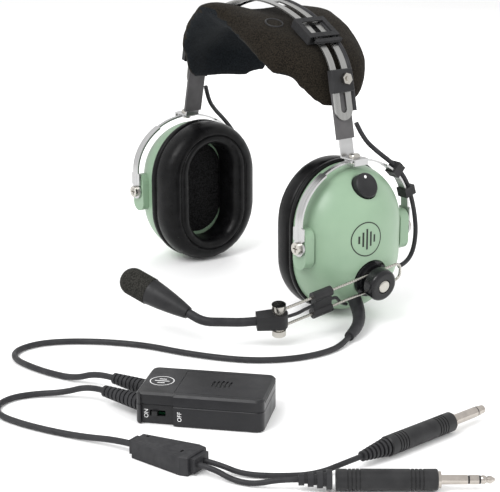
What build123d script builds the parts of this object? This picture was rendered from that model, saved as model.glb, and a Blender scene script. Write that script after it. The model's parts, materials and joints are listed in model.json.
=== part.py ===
from build123d import *
import os
from math import cos, pi, radians, sin, tan

# Aviation headset standing on its two ear cups, millimetres.
# +X is the wearer's left, +Y the wearer's back, +Z up, and z = 0 the surface it stands on.

os.makedirs("parts", exist_ok=True)

# ---------------------------------------------------------------- driving dimensions
CUP_Z = 56.5              # height of the ear cup's centre
RIM_X = 92.0              # plane of the dome's rim
DOME_DEPTH = 37.0
DOME_HALF_W = 43.5
DOME_HALF_H = 54.0
WALL = 2.4
RIM_LIP = 2.0             # flange that closes the dome's rim inward
LIP_HALF_W = 23.0
LIP_HALF_H = 37.0

SEAL_FACE_X = 65.5        # plane that rests on the head
SEAL_HALF_W = 45.0
SEAL_HALF_H = 56.5
SEAL_HOLE_W = 20.0
SEAL_HOLE_H = 38.5
SEAL_ROLL = 9.0           # radius of the cushion's outer roll
FIT = 0.05                # radial running clearance of pins and shafts

LINER_T = 12.0
SCREW_R = 2.4             # screw that carries the boom
SHAFT_R = 3.0             # shaft of the volume control

PIVOT_X = 104.0
PIVOT_Z = 58.0
BOSS_Y = 48.6             # outer face of the dome's pivot bosses
HOOP_HALF_W = 49.1        # inside of the stirrup, from its middle plane
HOOP_LEG = 16.0           # straight leg of the stirrup above its pivot
HOOP_ARCH = 39.6          # inside height of the stirrup's arch above its legs
HOOP_W = 7.0
STEEL = 1.4               # stirrup sheet
PIN_R = 2.0
SWIVEL_TOP_Z = PIVOT_Z + HOOP_LEG + HOOP_ARCH + STEEL

STRAP_W = 12.0
STRAP_T = 1.2
FLANGE_Z = SWIVEL_TOP_Z + 0.2
LEAN = 12.0               # lean of the headband's legs, degrees from upright
LEG_Z = 141.0             # height of the U-shaped end of each slotted leg
LEG_X = 92.5
LEG_LENGTH = 29.5         # straight stretch of a leg above LEG_Z
SPRING_W = 15.9
SPRING_T = 1.2
SLOT_W = 5.2
SHOULDER_R = 38.0
SHOULDER_TURN = 40.0
CROWN_TURN = 90.0 - LEAN - SHOULDER_TURN
STRAP_OUT = -0.75         # outer face of the strap, below the spring's inner face
SLEEVE_WALL = 0.5
BLOCK_OUT = 1.35          # inner face of the clamp block, above the spring's inner face
BLOCK_T = 4.6
CLAMP_T = 29.0            # distance of the clamp screw above LEG_Z, along the leg

BOOM_CENTRE = (124.5, -2.0, 33.0)
BOOM_TILT = 10.0          # the boom's swivel axis points this far below level
BOOM_DROP = 8.5           # slope of the rods, down to the front
ROD_R = 1.0
EYE_HALF = 1.2            # half thickness of the eyes at the rods' front ends
ROD_HALF_GAP = 6.5
ROD_LIFT = 6.0            # rods' plane above the dome's mounting face
THUMB_SCREW_R = 1.6
ROD_REACH = 85.0
ROD_TAIL = 24.0
ELBOW_YAW = 29.0          # flexible boom turns inward by this angle at the elbow

MODULE_CORNER = (184.0, -238.7)
MODULE_YAW = 42.0
MODULE_L = 78.0
MODULE_W = 46.0
MODULE_H = 20.0
MODULE_SPLIT = 12.5
CASE_WALL = 1.8
BOOT_YAW = 195.0
BOOT_L = 30.0
BOOT_Z = 9.5
MAIN_BOOT_V = 34.0
EXIT_BOOT_V = 12.0

Y_START = (220.0, -263.0)
Y_YAW = 20.5
Y_L = 47.0
Y_Z = 5.6

PLUG_Z = 6.3
HEADPHONE_PLUG = ((312.0, -171.0), 95.0)
MIC_PLUG = ((314.8, -218.6), 53.0)
PLUG_BOOT_L = 20.0
BARREL_L = 55.0
HEADPHONE_R = 3.175
MIC_R = 2.615
SHANK_L = 30.7

MAIN_CORD_R = 2.0
MODULE_CORD_R = 1.9
PLUG_CORD_R = 1.6
LEAD_R = 1.7              # interconnect cable between the cups
MIC_LEAD_R = 1.2


# ---------------------------------------------------------------- helpers
def save(builder, label):
    """Name a finished piece and write it to its own file."""
    builder.part.label = label
    export_step(builder.part, f"parts/{label}.step")


def corner_radii(points):
    """Largest tangent arc for each corner of a route: 0.45 of its shorter run over tan(turn / 2)."""
    radii = []
    for before, here, after in zip(points, points[1:], points[2:]):
        run_in = Vector(*here) - Vector(*before)
        run_out = Vector(*after) - Vector(*here)
        half_turn = radians(run_in.get_angle(run_out)) / 2
        radii.append(0.45 * min(run_in.length, run_out.length) / tan(half_turn))
    return radii


def make_cord(label, points, radius):
    """Round cord along straight runs joined by tangent arcs."""
    radii = corner_radii(points)
    with BuildPart() as cord:
        with BuildLine() as route:
            FilletPolyline(*points, radius=radii)
        path = route.wires()[0]
        with BuildSketch(Plane(origin=path @ 0, z_dir=path % 0)):
            Circle(radius)
        sweep(path=path)
    save(cord, label)
    length = path.length
    expected = pi * radius**2 * length
    print(f"{label}: length {length:.1f}, volume ratio {cord.part.volume / expected:.3f},",
          "radii", [round(r, 1) for r in radii])
    return cord.part


def mirrored(builder, side):
    """Turn a left-hand piece into the right-hand one when side is -1."""
    if side < 0:
        mirror(about=Plane.YZ, mode=Mode.REPLACE)


SIDES = (("left", 1), ("right", -1))

# ---------------------------------------------------------------- working planes
lean = radians(LEAN)
LEG_UP = (-sin(lean), 0, cos(lean))
LEG_OUT = (cos(lean), 0, sin(lean))
# local x runs up the leg, local y to the front, local z outward
LEG = Plane(origin=(LEG_X, 0, LEG_Z), x_dir=LEG_UP, z_dir=LEG_OUT)


def leg_point(up, out):
    """Point of the left leg in the XZ plane, a distance up the leg and out from its inner face."""
    return (LEG_X + up * LEG_UP[0] + out * LEG_OUT[0], LEG_Z + up * LEG_UP[2] + out * LEG_OUT[2])


def leg_at_height(z, out):
    """Point of the left leg at a height z, a distance out from its inner face."""
    up = (z - LEG_Z - out * LEG_OUT[2]) / LEG_UP[2]
    return leg_point(up, out)


shoulder_end = radians(LEAN + SHOULDER_TURN)
leg_top = leg_point(LEG_LENGTH, 0)
SHOULDER_CENTRE = (leg_top[0] - SHOULDER_R * cos(lean), leg_top[1] - SHOULDER_R * sin(lean))
CROWN_R = SHOULDER_R + SHOULDER_CENTRE[0] / cos(shoulder_end)
CROWN_Z = SHOULDER_CENTRE[1] + (SHOULDER_R - CROWN_R) * sin(shoulder_end)


def band_chain(start_up, lift):
    """Draw the headband's curve from one leg over the crown to the other, lifted off its inner face."""
    rise = Line(leg_point(start_up, lift), leg_point(LEG_LENGTH, lift))
    left = JernArc(rise @ 1, rise % 1, radius=SHOULDER_R + lift, arc_size=SHOULDER_TURN)
    crown = JernArc(left @ 1, left % 1, radius=CROWN_R + lift, arc_size=2 * CROWN_TURN)
    right = JernArc(crown @ 1, crown % 1, radius=SHOULDER_R + lift, arc_size=SHOULDER_TURN)
    x, z = leg_point(start_up, lift)
    fall = Line(right @ 1, (-x, z))
    return rise @ 0, fall @ 1


def crown_plane(angle, lift):
    """Plane on the crown's curve: local x along the band, local y to the front, local z outward."""
    a = radians(angle)
    radius = CROWN_R + lift
    return Plane(
        origin=(radius * cos(a), 0, CROWN_Z + radius * sin(a)),
        x_dir=(-sin(a), 0, cos(a)),
        z_dir=(cos(a), 0, sin(a)),
    )

tilt = radians(BOOM_TILT)
drop = radians(BOOM_DROP)
BOOM_OUT = (cos(tilt), 0, -sin(tilt))
BOOM_FORWARD = (-sin(drop) * sin(tilt), -cos(drop), -sin(drop) * cos(tilt))
# local x runs forward along the rods, local y down, local z away from the dome
BOOM = Plane(origin=BOOM_CENTRE, x_dir=BOOM_FORWARD, z_dir=BOOM_OUT)

KNOB_TILT = 27.0
KNOB_CENTRE = (114.5, -2.0, 96.5)
knob_tilt = radians(KNOB_TILT)
KNOB = Plane(origin=KNOB_CENTRE, x_dir=(0, 1, 0), z_dir=(cos(knob_tilt), 0, sin(knob_tilt)))

module_yaw = radians(MODULE_YAW)
MODULE = Plane(origin=(*MODULE_CORNER, 0), x_dir=(cos(module_yaw), sin(module_yaw), 0), z_dir=(0, 0, 1))
y_yaw = radians(Y_YAW)
JUNCTION = Plane(origin=(*Y_START, 0), x_dir=(cos(y_yaw), sin(y_yaw), 0), z_dir=(0, 0, 1))


# ---------------------------------------------------------------- ear cups
def dome_solid(inset, mode):
    """Stadium-shaped dome: two revolved ends with a straight stretch between them."""
    radius = DOME_HALF_W - inset
    depth = DOME_DEPTH - inset
    straight = DOME_HALF_H - DOME_HALF_W
    for end in (-1, 1):
        end_z = CUP_Z + end * straight
        with BuildSketch(Plane.XZ, mode=Mode.PRIVATE) as half:
            with BuildLine():
                rim = (RIM_X, end_z + end * radius)
                shoulder = (RIM_X + 0.66 * depth, end_z + end * 0.77 * radius)
                apex = (RIM_X + depth, end_z)
                Spline(rim, shoulder, apex, tangents=((1, 0), (0, -end)))
                Polyline(apex, (RIM_X, end_z), rim)
            make_face()
        axis = Axis((0, 0, end_z), (1, 0, 0))
        revolve(half.sketch.rotate(axis, -90), axis=axis, revolution_arc=180, mode=mode)
    with BuildSketch(Plane.XY.offset(CUP_Z - straight), mode=Mode.PRIVATE) as middle:
        with BuildLine():
            front = (RIM_X, -radius)
            front_shoulder = (RIM_X + 0.66 * depth, -0.77 * radius)
            crown = (RIM_X + depth, 0)
            back_shoulder = (RIM_X + 0.66 * depth, 0.77 * radius)
            back = (RIM_X, radius)
            Spline(front, front_shoulder, crown, tangents=((1, 0), (0, 1)))
            Spline(crown, back_shoulder, back, tangents=((0, 1), (-1, 0)))
            Line(back, front)
        make_face()
    extrude(middle.sketch, amount=2 * straight, mode=mode)


def bored_seat(plane, radius, depth, bore, bore_depth):
    """Flat round mounting face let into the dome, with a hole through the wall."""
    with BuildSketch(plane) as pad:
        Circle(radius)
    extrude(pad.sketch, amount=-depth)
    extrude(pad.sketch, amount=depth + 8, mode=Mode.SUBTRACT)
    with BuildSketch(plane) as hole:
        Circle(bore)
    extrude(hole.sketch, amount=-bore_depth, mode=Mode.SUBTRACT)


def make_dome(label, side):
    """Hard shell with its rim lip, two pivot bosses and, on the left, the two mounting faces."""
    with BuildPart() as dome:
        dome_solid(0, Mode.ADD)
        dome_solid(WALL, Mode.SUBTRACT)
        with BuildSketch(Plane.YZ.offset(RIM_X)):
            with Locations((0, CUP_Z)):
                SlotOverall(2 * DOME_HALF_H, 2 * DOME_HALF_W, rotation=90)
                SlotOverall(2 * LIP_HALF_H, 2 * LIP_HALF_W, rotation=90, mode=Mode.SUBTRACT)
        extrude(amount=-RIM_LIP)
        for end in (-1, 1):
            with BuildSketch(Plane.XZ.offset(-end * BOSS_Y)) as boss:
                with Locations((PIVOT_X - 1, PIVOT_Z - 1)):
                    SlotOverall(30, 14, rotation=90)
            extrude(boss.sketch, amount=end * 8)
            with BuildSketch(Plane.XZ.offset(-end * BOSS_Y)) as pin_hole:
                with Locations((PIVOT_X, PIVOT_Z)):
                    Circle(PIN_R)
            extrude(pin_hole.sketch, amount=end * 10, mode=Mode.SUBTRACT)
        if side > 0:
            bored_seat(BOOM, 14.4, 5, SCREW_R, 14)
            bored_seat(KNOB, 10, 6, SHAFT_R, 16)
        mirrored(dome, side)
    save(dome, label)


def make_ear_seal(label, side):
    """Cushion ring that stands on the rim lip and rests on the head."""
    back = RIM_X - RIM_LIP
    with BuildPart() as seal:
        with BuildSketch(Plane.YZ.offset(SEAL_FACE_X)):
            with Locations((0, CUP_Z)):
                SlotOverall(2 * SEAL_HALF_H, 2 * SEAL_HALF_W, rotation=90)
                SlotOverall(2 * SEAL_HOLE_H, 2 * SEAL_HOLE_W, rotation=90, mode=Mode.SUBTRACT)
        extrude(amount=back - SEAL_FACE_X)
        face_edges = seal.edges().group_by(Axis.X)[0]
        outer_edges = face_edges.filter_by(lambda e: abs(e.center().Y) > 0.9 * SEAL_HALF_W)
        outer_edges += face_edges.filter_by(lambda e: abs(e.center().Z - CUP_Z) > 0.9 * SEAL_HALF_H)
        fillet(outer_edges, radius=SEAL_ROLL)
        mirrored(seal, side)
    save(seal, label)


def make_liner(label, side):
    """Foam that fills the mouth of the dome behind the rim lip."""
    with BuildPart() as liner:
        with BuildSketch(Plane.YZ.offset(RIM_X - RIM_LIP)):
            with Locations((0, CUP_Z)):
                SlotOverall(2 * LIP_HALF_H - 0.6, 2 * LIP_HALF_W - 0.6, rotation=90)
        extrude(amount=LINER_T)
        mirrored(liner, side)
    save(liner, label)


def make_speaker(label, side):
    """Dynamic earphone element: frame, magnet cup and a dished cone."""
    front = RIM_X - RIM_LIP + LINER_T + 0.3
    with BuildPart() as speaker:
        with BuildSketch(Plane.XZ) as half:
            with BuildLine():
                Polyline(
                    (front + 1.5, CUP_Z),
                    (front, CUP_Z + 9),
                    (front, CUP_Z + 19),
                    (front + 3, CUP_Z + 19),
                    (front + 5, CUP_Z + 11),
                    (front + 10, CUP_Z + 11),
                    (front + 10, CUP_Z),
                    close=True,
                )
            make_face()
        revolve(axis=Axis((0, 0, CUP_Z), (1, 0, 0)))
        mirrored(speaker, side)
    save(speaker, label)


def make_pivot_screws(label, side):
    """Two cross-slotted screws, front and rear, that the stirrup turns on."""
    with BuildPart() as screws:
        for end in (-1, 1):
            base = BOSS_Y - 7.5
            head = HOOP_HALF_W + STEEL + 0.1
            with BuildSketch(Plane.XZ.offset(-end * base)) as shank:
                with Locations((PIVOT_X, PIVOT_Z)):
                    Circle(PIN_R)
            extrude(shank.sketch, amount=-end * (head - base + 0.5))
            with BuildSketch(Plane.XZ.offset(-end * head)) as cap:
                with Locations((PIVOT_X, PIVOT_Z)):
                    Circle(4.4)
            extrude(cap.sketch, amount=-end * 2.4)
            with BuildSketch(Plane.XZ.offset(-end * (head + 2.4))) as slot:
                with Locations((PIVOT_X, PIVOT_Z)):
                    Rectangle(5.2, 1)
                    Rectangle(1, 5.2)
            extrude(slot.sketch, amount=end * 1.2, mode=Mode.SUBTRACT)
        mirrored(screws, side)
    save(screws, label)


for name, side in SIDES:
    make_dome(f"{name}_dome", side)
    make_ear_seal(f"{name}_ear_seal", side)
    make_liner(f"{name}_liner", side)
    make_speaker(f"{name}_speaker", side)
    make_pivot_screws(f"{name}_pivot_screws", side)


# ---------------------------------------------------------------- stirrups and straps
def make_stirrup(label, side):
    """Pressed steel hoop: wide legs with pivot ears, a narrow arch and a swivel tab on top."""
    arch_z = PIVOT_Z + HOOP_LEG
    with BuildPart() as stirrup:
        with BuildSketch(Plane.YZ.offset(PIVOT_X - HOOP_W / 2)):
            with Locations((0, arch_z)):
                Ellipse(HOOP_HALF_W + STEEL, HOOP_ARCH + STEEL)
                Ellipse(HOOP_HALF_W, HOOP_ARCH, mode=Mode.SUBTRACT)
                with Locations((0, -HOOP_ARCH)):
                    Rectangle(3 * HOOP_HALF_W, 2 * HOOP_ARCH, mode=Mode.SUBTRACT)
            for end in (-1, 1):
                with Locations((end * (HOOP_HALF_W + STEEL / 2), PIVOT_Z + HOOP_LEG / 2)):
                    Rectangle(STEEL, HOOP_LEG)
        extrude(amount=HOOP_W)
        with BuildSketch(Plane.XY.offset(arch_z + 20)) as narrow:
            with Locations((PIVOT_X - 5, 0), (PIVOT_X + 5, 0)):
                Rectangle(6.8, 56)
        extrude(narrow.sketch, amount=40, mode=Mode.SUBTRACT)
        with BuildSketch(Plane.XY.offset(SWIVEL_TOP_Z - STEEL)) as tab:
            with Locations((PIVOT_X, 0)):
                RectangleRounded(9.4, 13, 2)
        extrude(tab.sketch, amount=STEEL)
        with BuildSketch(Plane.XY.offset(SWIVEL_TOP_Z - 4)) as swivel_hole:
            with Locations((PIVOT_X, 0)):
                Circle(PIN_R + FIT)
        extrude(swivel_hole.sketch, amount=8, mode=Mode.SUBTRACT)
        for end in (-1, 1):
            with BuildSketch(Plane.XZ.offset(-end * HOOP_HALF_W)) as ear:
                with Locations((PIVOT_X, PIVOT_Z)):
                    Circle(6)
                with Locations((PIVOT_X, PIVOT_Z + 10)):
                    RectangleRounded(11, 10, 1)
                with Locations((PIVOT_X, PIVOT_Z + 5)):
                    Rectangle(7, 10)
            extrude(ear.sketch, amount=-end * STEEL)
            with BuildSketch(Plane.XZ.offset(-end * (HOOP_HALF_W - 1))) as pin_hole:
                with Locations((PIVOT_X, PIVOT_Z)):
                    Circle(PIN_R + FIT)
            extrude(pin_hole.sketch, amount=-end * (STEEL + 2), mode=Mode.SUBTRACT)
        mirrored(stirrup, side)
    save(stirrup, label)
    return stirrup.part


def make_strap(label, side):
    """Flat steel strap: a flange with a turned-down lip over the swivel and a leg up the slot."""
    inner = STRAP_OUT - STRAP_T
    lip_x = PIVOT_X + 8
    lip_z = FLANGE_Z - 3.4
    with BuildPart() as strap:
        with BuildSketch(Plane.XZ) as bent:
            with BuildLine():
                Polyline(
                    leg_at_height(FLANGE_Z, inner),
                    (lip_x - STRAP_T, FLANGE_Z),
                    (lip_x - STRAP_T, lip_z),
                    (lip_x, lip_z),
                    (lip_x, FLANGE_Z + STRAP_T),
                    leg_at_height(FLANGE_Z + STRAP_T, STRAP_OUT),
                    leg_point(CLAMP_T + 4, STRAP_OUT),
                    leg_point(CLAMP_T + 4, inner),
                    close=True,
                )
            make_face()
        extrude(bent.sketch, amount=STRAP_W / 2, both=True)
        with BuildSketch(Plane.XY.offset(FLANGE_Z - 1)) as swivel_hole:
            with Locations((PIVOT_X, 0)):
                Circle(PIN_R)
        extrude(swivel_hole.sketch, amount=3, mode=Mode.SUBTRACT)
        with BuildSketch(LEG.offset(-3)) as clamp_hole:
            with Locations((CLAMP_T, 0)):
                Circle(1.9)
        extrude(clamp_hole.sketch, amount=4, mode=Mode.SUBTRACT)
        mirrored(strap, side)
    save(strap, label)


def make_strap_sleeve(label, side, span):
    """Thin plastic sleeve drawn over the strap's leg."""
    middle = (span[0] + span[1]) / 2
    length = span[1] - span[0]
    inner = STRAP_OUT - STRAP_T
    with BuildPart() as sleeve:
        with BuildSketch(LEG.offset(inner - SLEEVE_WALL)) as outside:
            with Locations((middle, 0)):
                Rectangle(length, SPRING_W - 0.5)
        extrude(outside.sketch, amount=STRAP_T + 2 * SLEEVE_WALL)
        with BuildSketch(LEG.offset(inner)) as inside:
            with Locations((middle, 0)):
                Rectangle(length, STRAP_W)
        extrude(inside.sketch, amount=STRAP_T, mode=Mode.SUBTRACT)
        mirrored(sleeve, side)
    save(sleeve, label)


def make_clamp_block(label, side):
    """Square plate that the clamp screw presses on the slotted leg."""
    with BuildPart() as block:
        with BuildSketch(LEG.offset(BLOCK_OUT)) as plate:
            with Locations((CLAMP_T - 1, 1.7)):
                RectangleRounded(16.5, 19.4, 1.2)
        extrude(plate.sketch, amount=BLOCK_T)
        chamfer(block.faces().sort_by(Axis(LEG.origin, LEG.z_dir))[-1].edges(), length=0.6)
        with BuildSketch(LEG.offset(BLOCK_OUT)) as hole:
            with Locations((CLAMP_T, 0)):
                Circle(1.9)
        extrude(hole.sketch, amount=BLOCK_T, mode=Mode.SUBTRACT)
        mirrored(block, side)
    save(block, label)


def make_strap_screws(label, side):
    """Domed swivel rivet on the flange, and the clamp screw with its nut on the slotted leg."""
    nut_z = SWIVEL_TOP_Z - STEEL - 1.4
    head_z = FLANGE_Z + STRAP_T
    block_top = BLOCK_OUT + BLOCK_T
    clamp_head = STRAP_OUT - STRAP_T - 1.2
    with BuildPart() as screws:
        with BuildSketch(Plane.XY.offset(nut_z)) as shank:
            with Locations((PIVOT_X, 0)):
                Circle(PIN_R)
        extrude(shank.sketch, amount=head_z + 1 - nut_z)
        with BuildSketch(Plane.XY.offset(nut_z)) as nut:
            with Locations((PIVOT_X, 0)):
                Circle(3.2)
        extrude(nut.sketch, amount=1.3)
        with BuildSketch(Plane.XY.offset(head_z)) as head:
            with Locations((PIVOT_X, 0)):
                Circle(4.2)
        extrude(head.sketch, amount=2.8)
        fillet(screws.edges().group_by(Axis.Z)[-1], radius=2)
        with BuildSketch(LEG.offset(clamp_head)) as clamp_shank:
            with Locations((CLAMP_T, 0)):
                Circle(1.9)
        extrude(clamp_shank.sketch, amount=block_top + 4.4 - clamp_head)
        with BuildSketch(LEG.offset(clamp_head)) as low_head:
            with Locations((CLAMP_T, 0)):
                Circle(3.2)
        extrude(low_head.sketch, amount=1.2)
        with BuildSketch(LEG.offset(block_top)) as clamp_nut:
            with Locations((CLAMP_T, 0)):
                RegularPolygon(4.3, 6, rotation=12)
        extrude(clamp_nut.sketch, amount=3.4)
        mirrored(screws, side)
    save(screws, label)


SLEEVES = {"left": (-13.0, 20.0), "right": (-22.0, 20.0)}
stirrups = {}

for name, side in SIDES:
    stirrups[name] = make_stirrup(f"{name}_stirrup", side)
    make_strap(f"{name}_strap", side)
    make_strap_sleeve(f"{name}_strap_sleeve", side, SLEEVES[name])
    make_strap_screws(f"{name}_strap_screws", side)
    make_clamp_block(f"{name}_clamp_block", side)


# ---------------------------------------------------------------- headband
with BuildPart() as headband_spring:
    with BuildSketch(Plane.XZ) as arch:
        with BuildLine():
            inner_start, inner_end = band_chain(0, 0)
            outer_start, outer_end = band_chain(0, SPRING_T)
            Line(inner_start, outer_start)
            Line(inner_end, outer_end)
        make_face()
    extrude(arch.sketch, amount=SPRING_W / 2, both=True)
    with BuildSketch(LEG.offset(-1)) as slot_end:
        with Locations((SPRING_W / 4, 0)):
            Rectangle(SPRING_W / 2, SPRING_W)
        with Locations((SPRING_W / 2, 0)):
            Circle(SPRING_W / 2, mode=Mode.SUBTRACT)
        with Locations((SPRING_W / 2 + 12, 0)):
            SlotOverall(24 + SLOT_W, SLOT_W)
    extrude(slot_end.sketch, amount=SPRING_T + 2, mode=Mode.SUBTRACT)
    with BuildSketch(Plane.YZ.offset(14)) as long_slot:
        with Locations((0, LEG_Z + 60)):
            Rectangle(SLOT_W, 80)
    extrude(long_slot.sketch, amount=80, mode=Mode.SUBTRACT)
    split(bisect_by=Plane.YZ)
    mirror(about=Plane.YZ)
save(headband_spring, "headband_spring")


def pad_section(y, start_up, outer_lift, inner_lift):
    """Closed arch outline of the head pad at one distance from its middle plane."""
    with BuildSketch(Plane.XZ.offset(-y), mode=Mode.PRIVATE) as section:
        with BuildLine():
            outer_start, outer_end = band_chain(start_up, outer_lift)
            inner_start, inner_end = band_chain(start_up, inner_lift)
            Line(outer_start, inner_start)
            Line(outer_end, inner_end)
        make_face()
    return section.sketch


# distance from the middle plane, start up the leg, outer and inner surface under the spring
PAD_STATIONS = (
    (-54, 28, -18, -30),
    (-47, 25, -10, -32),
    (-38, 20, -6, -30),
    (-27, 10, -4, -26),
    (0, 3, -4, -20),
    (27, 10, -4, -26),
    (38, 20, -6, -30),
    (47, 25, -10, -32),
    (54, 28, -18, -30),
)
with BuildPart() as head_pad:
    loft(sections=[pad_section(*station) for station in PAD_STATIONS], ruled=True)
save(head_pad, "head_pad")

with BuildPart() as band_retainers:
    for loop_angle in (60, 120):
        with BuildSketch(crown_plane(loop_angle, -3.4)) as loop:
            Rectangle(22, 27)
        extrude(loop.sketch, amount=6.8)
        with BuildSketch(crown_plane(loop_angle, -2.2)) as passage:
            Rectangle(23, 24.6)
        extrude(passage.sketch, amount=4.8, mode=Mode.SUBTRACT)
        with BuildSketch(crown_plane(loop_angle, 0)) as window:
            Rectangle(13, 19)
        extrude(window.sketch, amount=5, mode=Mode.SUBTRACT)
    for bar_angle in (52.6, 127.4):
        with BuildSketch(crown_plane(bar_angle, 2.6)) as bar:
            RectangleRounded(3, 24, 1.4)
        extrude(bar.sketch, amount=2.2)
save(band_retainers, "band_retainers")

CABLE_Y = SPRING_W / 2 + LEAD_R + 0.3
with BuildPart() as band_cable:
    with BuildLine(Plane.XZ.offset(-CABLE_Y)) as band_route:
        band_chain(6, 0.6)
    band_path = band_route.wires()[0]
    with BuildSketch(Plane(origin=band_path @ 0, z_dir=band_path % 0)):
        Circle(LEAD_R)
    sweep(path=band_path)
save(band_cable, "band_cable")

STIRRUP_CABLE = (
    (92.5, 11.0, 138.0),
    (95.5, 15.5, 126.5),
    (100.0, 25.0, 116.5),
    (104.5, 38.5, 105.5),
    (105.5, 48.5, 94.0),
    (105.5, 54.5, 80.0),
    (105.0, 59.0, 66.0),
    (106.0, 60.0, 51.0),
    (108.5, 55.0, 38.0),
    (110.5, 46.0, 31.5),
    (111.0, 39.0, 30.5),
)
stirrup_cables = {}
for name, side in SIDES:
    route = [(side * x, y, z) for x, y, z in STIRRUP_CABLE]
    stirrup_cables[name] = make_cord(f"{name}_stirrup_cable", route, LEAD_R)

# centre of each clip and the angle of the hoop's outward normal above level
CLIPS = (
    ((104.0, 39.2, 102.3), 47.0),
    ((104.0, 50.8, 84.8), 17.6),
)
with BuildPart() as stirrup_cable_clips:
    for centre, angle in CLIPS:
        with Locations(Location(centre, (angle, 0, 0))):
            Box(9.4, 9.4, 7)
    add(stirrups["left"], mode=Mode.SUBTRACT)
    add(stirrup_cables["left"], mode=Mode.SUBTRACT)
save(stirrup_cable_clips, "stirrup_cable_clips")


# ---------------------------------------------------------------- boom microphone
def boom_plane(forward, down, out):
    """Plane parallel to the boom's frame, moved along its three directions."""
    origin = BOOM.from_local_coords((forward, down, out))
    return Plane(origin=origin, x_dir=BOOM.x_dir, z_dir=BOOM.z_dir)


def post_plane(forward, down, out):
    """Plane square to the thumb screw, with local z pointing up the screw."""
    origin = BOOM.from_local_coords((forward, down, out))
    return Plane(origin=origin, x_dir=BOOM.x_dir, z_dir=-BOOM.y_dir)


with BuildPart() as boom_screw:
    with BuildSketch(BOOM.offset(-9.5)) as inner_head:
        Circle(5)
    extrude(inner_head.sketch, amount=2)
    with BuildSketch(BOOM.offset(-9.5)) as shank:
        Circle(SCREW_R)
    extrude(shank.sketch, amount=24.5)
    with BuildSketch(BOOM.offset(15)) as outer_nut:
        Circle(4.9)
    extrude(outer_nut.sketch, amount=2.6)
    fillet(boom_screw.faces().sort_by(Axis(BOOM.origin, BOOM.z_dir))[-1].edges(), radius=1.8)
save(boom_screw, "boom_screw")

with BuildPart() as boom_base:
    with BuildSketch(BOOM.offset(0.1)) as disc:
        Circle(13.6)
    extrude(disc.sketch, amount=2.6)
    with BuildSketch(BOOM.offset(2.7)) as step:
        Circle(11.4)
    extrude(step.sketch, amount=2.2)
    with BuildSketch(BOOM.offset(0.1)) as bore:
        Circle(SCREW_R + FIT)
    extrude(bore.sketch, amount=6, mode=Mode.SUBTRACT)
save(boom_base, "boom_base")

with BuildPart() as clamp_washer:
    with BuildSketch(BOOM.offset(7.1)) as ring:
        Circle(10.6)
        Circle(SCREW_R + FIT, mode=Mode.SUBTRACT)
    extrude(ring.sketch, amount=1.2)
save(clamp_washer, "clamp_washer")

with BuildPart() as clamp_knob:
    with BuildSketch(BOOM.offset(8.4)) as body:
        Circle(11.6)
    extrude(body.sketch, amount=8.6)
    fillet(clamp_knob.edges().group_by(Axis(BOOM.origin, BOOM.z_dir))[-1], radius=3)
    with BuildSketch(BOOM.offset(8)) as bore:
        Circle(SCREW_R + FIT)
    extrude(bore.sketch, amount=10, mode=Mode.SUBTRACT)
    with BuildSketch(BOOM.offset(14.8)) as recess:
        Circle(5.2)
    extrude(recess.sketch, amount=4, mode=Mode.SUBTRACT)
save(clamp_knob, "clamp_knob")

with BuildPart() as boom_rods:
    with BuildLine(BOOM.offset(ROD_LIFT)) as rod_route:
        FilletPolyline(
            (ROD_REACH - 3, -ROD_HALF_GAP),
            (-ROD_TAIL, -ROD_HALF_GAP),
            (-ROD_TAIL, ROD_HALF_GAP),
            (ROD_REACH - 3, ROD_HALF_GAP),
            radius=5,
        )
    rod_path = rod_route.wires()[0]
    with BuildSketch(Plane(origin=rod_path @ 0, z_dir=rod_path % 0)):
        Circle(ROD_R)
    sweep(path=rod_path)
    for end in (-1, 1):
        with BuildSketch(post_plane(ROD_REACH, end * ROD_HALF_GAP, ROD_LIFT)) as eye:
            Circle(4)
        extrude(eye.sketch, amount=EYE_HALF, both=True)
    with BuildSketch(post_plane(ROD_REACH, 10, ROD_LIFT)) as eye_bore:
        Circle(THUMB_SCREW_R + FIT)
    extrude(eye_bore.sketch, amount=20, mode=Mode.SUBTRACT)
save(boom_rods, "boom_rods")

GUIDE_AT = 48.0
with BuildPart() as rod_guide:
    for end in (-1, 1):
        with BuildSketch(Plane(
            origin=BOOM.from_local_coords((GUIDE_AT - 8, end * ROD_HALF_GAP, ROD_LIFT)),
            x_dir=BOOM.y_dir,
            z_dir=BOOM.x_dir,
        )) as lobe:
            Circle(3.6)
        extrude(lobe.sketch, amount=16)
    with BuildSketch(boom_plane(GUIDE_AT, 0, ROD_LIFT - 1.5)) as web:
        Rectangle(16, 8)
    extrude(web.sketch, amount=3)
    for end in (-1, 1):
        with BuildSketch(Plane(
            origin=BOOM.from_local_coords((GUIDE_AT - 9, end * ROD_HALF_GAP, ROD_LIFT)),
            x_dir=BOOM.y_dir,
            z_dir=BOOM.x_dir,
        )) as bore:
            Circle(ROD_R)
        extrude(bore.sketch, amount=18, mode=Mode.SUBTRACT)
    with BuildSketch(Plane(
        origin=BOOM.from_local_coords((GUIDE_AT - 9, 0, ROD_LIFT)),
        x_dir=BOOM.y_dir,
        z_dir=BOOM.x_dir,
    )) as lead_bore:
        Circle(MIC_LEAD_R)
    extrude(lead_bore.sketch, amount=18, mode=Mode.SUBTRACT)
save(rod_guide, "rod_guide")

# elbow: local x points along the flexible boom where it starts
elbow_yaw = radians(ELBOW_YAW)
ELBOW_DIR = (BOOM.x_dir * cos(elbow_yaw) - BOOM.z_dir * sin(elbow_yaw)).normalized()
ELBOW_AT = BOOM.from_local_coords((ROD_REACH, 0, ROD_LIFT))
ELBOW = Plane(origin=ELBOW_AT, x_dir=ELBOW_DIR, z_dir=-BOOM.y_dir)
BLOCK_HALF = ROD_HALF_GAP - EYE_HALF - 0.1
FLEX_R = 3.1

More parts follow.
